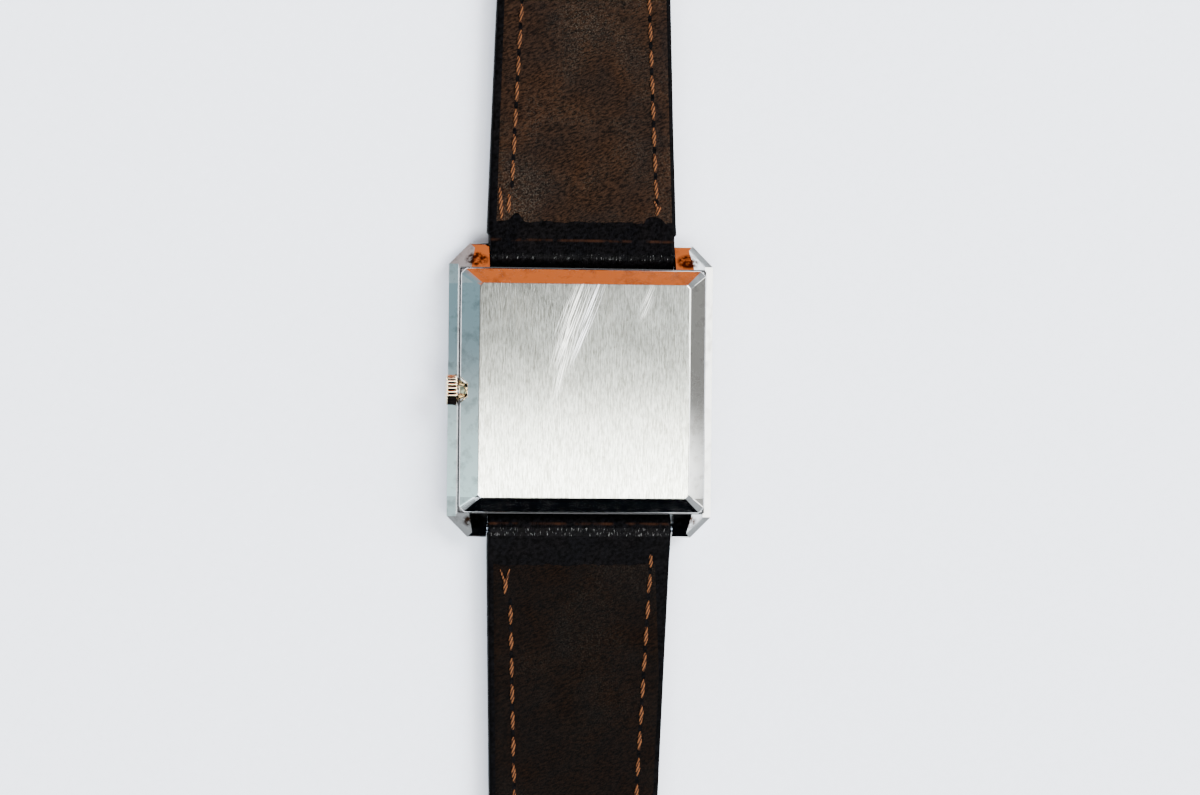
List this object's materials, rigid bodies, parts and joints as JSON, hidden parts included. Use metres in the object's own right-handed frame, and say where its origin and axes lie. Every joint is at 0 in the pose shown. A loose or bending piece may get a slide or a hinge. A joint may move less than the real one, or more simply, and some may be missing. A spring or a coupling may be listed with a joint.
{
  "type": "rectangular wristwatch",
  "caption": "Slim rectangular wristwatch with a faceted steel case, press-fit back, side crown and a padded leather strap with a pin buckle, lying face down.",
  "frame": {"origin": "centre of the crystal's outer face, which the watch lies on", "axes": "+Z out of the case back, away from the dial; +Y along the strap towards 12 o'clock; the crown is on the -X side"},
  "size_m": [0.0259, 0.2224, 0.0056],
  "materials": {
    "case_steel": "polished, the back's flat brushed lengthways",
    "buckle_steel": "polished",
    "spring_steel": "plain steel",
    "movement_nickel": "nickel plated, matt",
    "wheel_brass": "plain brass",
    "jewel": "polished synthetic ruby",
    "crystal_glass": "clear, flat",
    "gasket_rubber": "matt",
    "spacer_plastic": "moulded",
    "dial_paint": "silvered",
    "hands_black": "black lacquer",
    "strap_black": "smooth, glazed",
    "strap_brown": "grained, worn",
    "strap_filler": "undyed board"
  },
  "bodies": {
    "case": {"case_frame": "case_steel", "case_back": "case_steel", "case_back_gasket": "gasket_rubber", "crystal": "crystal_glass", "crystal_gasket": "gasket_rubber", "crown_tube": "case_steel", "crown_gasket": "gasket_rubber", "casing_ring": "spacer_plastic", "dial": "dial_paint", "dial_markers": "hands_black", "main_plate": "movement_nickel", "barrel_bridge": "movement_nickel", "train_bridge": "movement_nickel", "balance_cock": "movement_nickel", "pallet_bridge": "movement_nickel", "bridge_screws": "spring_steel", "bridge_jewels": "jewel", "hairspring": "spring_steel", "click_spring": "spring_steel", "spring_bar_12": "spring_steel", "spring_bar_6": "spring_steel"},
    "winding_pinion": {"winding_pinion": "spring_steel"},
    "crown": {"crown": "case_steel", "winding_stem": "spring_steel"},
    "sliding_pinion": {"sliding_pinion": "spring_steel"},
    "crown_wheel": {"crown_wheel": "spring_steel"},
    "ratchet": {"ratchet_wheel": "spring_steel", "barrel_arbor": "spring_steel"},
    "click": {"click": "spring_steel"},
    "barrel": {"barrel_drum": "wheel_brass", "barrel_cover": "wheel_brass", "mainspring": "spring_steel"},
    "centre_wheel": {"centre_wheel": "wheel_brass", "cannon_pinion": "spring_steel", "minute_hand": "hands_black"},
    "third_wheel": {"third_wheel": "wheel_brass"},
    "fourth_wheel": {"fourth_wheel": "wheel_brass"},
    "escape_wheel": {"escape_wheel": "spring_steel"},
    "pallet_fork": {"pallet_fork": "spring_steel"},
    "balance": {"balance_wheel": "wheel_brass", "balance_staff": "spring_steel"},
    "minute_wheel": {"minute_wheel": "wheel_brass"},
    "hour_wheel": {"hour_wheel": "wheel_brass", "hour_hand": "hands_black"},
    "setting_wheel": {"setting_wheel": "spring_steel"},
    "setting_lever": {"setting_lever": "spring_steel"},
    "yoke": {"yoke": "spring_steel"},
    "spring_bar_12_tip": {"spring_bar_12_tip": "spring_steel"},
    "spring_bar_6_tip": {"spring_bar_6_tip": "spring_steel"},
    "strap_12": {"strap_12_outer": "strap_black", "strap_12_lining": "strap_brown", "strap_12_filler": "strap_filler", "keeper_fixed": "strap_black", "buckle_bar": "spring_steel"},
    "strap_6": {"strap_6_outer": "strap_black", "strap_6_lining": "strap_brown", "strap_6_filler": "strap_filler"},
    "keeper_free": {"keeper_free": "strap_black"},
    "buckle": {"buckle_frame": "buckle_steel"},
    "tongue": {"buckle_tongue": "buckle_steel"}
  },
  "joints": [
    {"name": "crown_turn", "type": "hinge", "parent": "case", "child": "winding_pinion", "pos_m": [-0.0075, 0, 0.0032], "axis": [1, 0, 0], "continuous": true},
    {"name": "crown_pull", "type": "slide", "parent": "winding_pinion", "child": "crown", "axis": [-1, 0, 0], "range_m": [0, 0.0006]},
    {"name": "sliding_pinion_slide", "type": "slide", "parent": "winding_pinion", "child": "sliding_pinion", "axis": [1, 0, 0], "range_m": [0, 0.00046]},
    {"name": "crown_wheel_turn", "type": "hinge", "parent": "case", "child": "crown_wheel", "pos_m": [-0.0054, 0, 0.004], "axis": [0, 0, 1], "continuous": true},
    {"name": "ratchet_turn", "type": "hinge", "parent": "case", "child": "ratchet", "pos_m": [-0.00238, 0.00421, 0.004], "axis": [0, 0, 1], "continuous": true},
    {"name": "click_swing", "type": "hinge", "parent": "case", "child": "click", "pos_m": [-0.00696, 0.00461, 0.004], "axis": [0, 0, 1], "range_deg": [0, 12], "stiffness_Nm_per_rad": 0.000002, "deforming": ["click_spring"]},
    {"name": "barrel_turn", "type": "hinge", "parent": "case", "child": "barrel", "pos_m": [-0.00238, 0.00421, 0.0035], "axis": [0, 0, 1], "continuous": true, "deforming": ["mainspring"]},
    {"name": "centre_wheel_turn", "type": "hinge", "parent": "case", "child": "centre_wheel", "pos_m": [0, 0, 0.003], "axis": [0, 0, 1], "continuous": true},
    {"name": "third_wheel_turn", "type": "hinge", "parent": "case", "child": "third_wheel", "pos_m": [0.00301, -0.00053, 0.0036], "axis": [0, 0, 1], "continuous": true},
    {"name": "fourth_wheel_turn", "type": "hinge", "parent": "case", "child": "fourth_wheel", "pos_m": [0.0039, -0.0031, 0.0032], "axis": [0, 0, 1], "continuous": true},
    {"name": "escape_wheel_turn", "type": "hinge", "parent": "case", "child": "escape_wheel", "pos_m": [0.00259, -0.00546, 0.0034], "axis": [0, 0, 1], "continuous": true},
    {"name": "lever_rock", "type": "hinge", "parent": "case", "child": "pallet_fork", "pos_m": [0.00093, -0.00564, 0.0034], "axis": [0, 0, 1], "range_deg": [-4, 4]},
    {"name": "balance_swing", "type": "hinge", "parent": "case", "child": "balance", "pos_m": [-0.00155, -0.0059, 0.0039], "axis": [0, 0, 1], "range_deg": [-270, 270], "stiffness_Nm_per_rad": 0.00000025, "deforming": ["hairspring"]},
    {"name": "minute_wheel_turn", "type": "hinge", "parent": "case", "child": "minute_wheel", "pos_m": [-0.00226, -0.00082, 0.0025], "axis": [0, 0, 1], "continuous": true},
    {"name": "hour_wheel_turn", "type": "hinge", "parent": "case", "child": "hour_wheel", "pos_m": [0, 0, 0.0023], "axis": [0, 0, 1], "continuous": true},
    {"name": "setting_wheel_turn", "type": "hinge", "parent": "case", "child": "setting_wheel", "pos_m": [-0.00462, 0, 0.0025], "axis": [0, 0, 1], "continuous": true},
    {"name": "setting_lever_swing", "type": "hinge", "parent": "case", "child": "setting_lever", "pos_m": [-0.00875, -0.0019, 0.0024], "axis": [0, 0, 1], "range_deg": [0, 18.05]},
    {"name": "yoke_swing", "type": "hinge", "parent": "case", "child": "yoke", "pos_m": [-0.0062, -0.003, 0.0024], "axis": [0, 0, -1], "range_deg": [0, 8.68]},
    {"name": "strap_12_swing", "type": "hinge", "parent": "case", "child": "strap_12", "pos_m": [0, 0.01315, 0.0017], "axis": [1, 0, 0], "range_deg": [-25, 80]},
    {"name": "strap_6_swing", "type": "hinge", "parent": "case", "child": "strap_6", "pos_m": [0, -0.01315, 0.0017], "axis": [-1, 0, 0], "range_deg": [-25, 80]},
    {"name": "spring_bar_12_tip_press", "type": "slide", "parent": "case", "child": "spring_bar_12_tip", "axis": [1, 0, 0], "range_m": [0, 0.0007], "stiffness_N_per_m": 500},
    {"name": "spring_bar_6_tip_press", "type": "slide", "parent": "case", "child": "spring_bar_6_tip", "axis": [1, 0, 0], "range_m": [0, 0.0007], "stiffness_N_per_m": 500},
    {"name": "free_keeper_slide", "type": "slide", "parent": "strap_12", "child": "keeper_free", "axis": [0, -1, 0], "range_m": [0, 0.012]},
    {"name": "buckle_swing", "type": "hinge", "parent": "strap_12", "child": "buckle", "pos_m": [0, 0.08515, 0.00168], "axis": [1, 0, 0], "range_deg": [0, 70]},
    {"name": "tongue_swing", "type": "hinge", "parent": "buckle", "child": "tongue", "pos_m": [0, 0.08515, 0.00168], "axis": [-1, 0, 0], "range_deg": [0, 75]}
  ],
  "couplings": [
    {"joint": "sliding_pinion_slide", "follows": "crown_pull", "ratio": 0.75},
    {"joint": "setting_lever_swing", "follows": "crown_pull", "rad_per_m": 522.01},
    {"joint": "yoke_swing", "follows": "crown_pull", "rad_per_m": 249.53},
    {"joint": "crown_wheel_turn", "follows": "crown_turn", "ratio": 0.46154},
    {"joint": "ratchet_turn", "follows": "crown_turn", "ratio": -0.25},
    {"joint": "third_wheel_turn", "follows": "fourth_wheel_turn", "ratio": -0.13333},
    {"joint": "centre_wheel_turn", "follows": "fourth_wheel_turn", "ratio": 0.016667},
    {"joint": "barrel_turn", "follows": "fourth_wheel_turn", "ratio": -0.0027778},
    {"joint": "escape_wheel_turn", "follows": "fourth_wheel_turn", "ratio": -10},
    {"joint": "minute_wheel_turn", "follows": "fourth_wheel_turn", "ratio": -0.0055556},
    {"joint": "hour_wheel_turn", "follows": "fourth_wheel_turn", "ratio": 0.0013889},
    {"joint": "setting_wheel_turn", "follows": "fourth_wheel_turn", "ratio": 0.014286}
  ]
}
